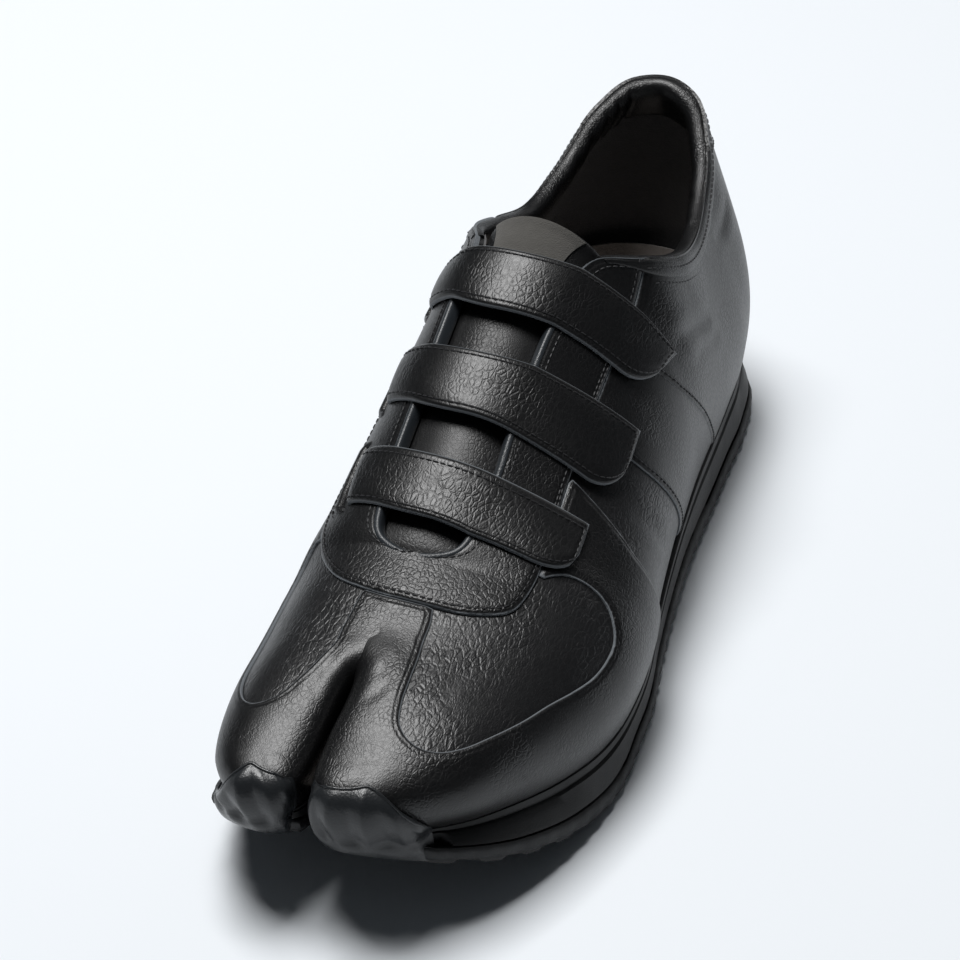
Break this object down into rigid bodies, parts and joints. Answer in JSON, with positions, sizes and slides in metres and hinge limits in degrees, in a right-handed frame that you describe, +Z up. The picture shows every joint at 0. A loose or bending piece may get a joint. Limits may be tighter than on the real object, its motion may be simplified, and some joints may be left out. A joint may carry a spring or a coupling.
{
  "type": "tabi sneaker",
  "caption": "Low left shoe with a split toe: hollow black leather upper with overlays, tongue and hook-and-loop straps on a split lugged sole with toe bumpers.",
  "frame": {"origin": "bottom centre of the bounding box, on the floor under the middle of the shoe", "axes": "+X towards the lateral side, -Y towards the toes, +Y towards the heel, +Z up"},
  "size_m": [0.1026, 0.2842, 0.1113],
  "materials": {
    "upper": "black pebbled full-grain leather with a soft sheen",
    "toe_guard": "black pebbled full-grain leather with a soft sheen",
    "facing": "black pebbled full-grain leather with a soft sheen",
    "quarter_lateral": "black pebbled full-grain leather with a soft sheen",
    "quarter_medial": "black pebbled full-grain leather with a soft sheen",
    "heel_counter": "black pebbled full-grain leather with a soft sheen",
    "heel_tab": "black pebbled full-grain leather with a soft sheen",
    "tongue": "black pebbled full-grain leather with a soft sheen",
    "strap_top": "black pebbled full-grain leather with a soft sheen",
    "strap_mid": "black pebbled full-grain leather with a soft sheen",
    "strap_low": "black pebbled full-grain leather with a soft sheen",
    "insole": "matt taupe lining cloth",
    "midsole": "matt black moulded foam rubber",
    "outsole": "matt black rubber"
  },
  "bodies": {
    "root": {"upper": "upper", "toe_guard": "toe_guard", "facing": "facing", "quarter_lateral": "quarter_lateral", "quarter_medial": "quarter_medial", "heel_counter": "heel_counter", "heel_tab": "heel_tab", "tongue": "tongue", "strap_top": "strap_top", "strap_mid": "strap_mid", "strap_low": "strap_low", "insole": "insole", "midsole": "midsole", "outsole": "outsole"}
  },
  "joints": []
}
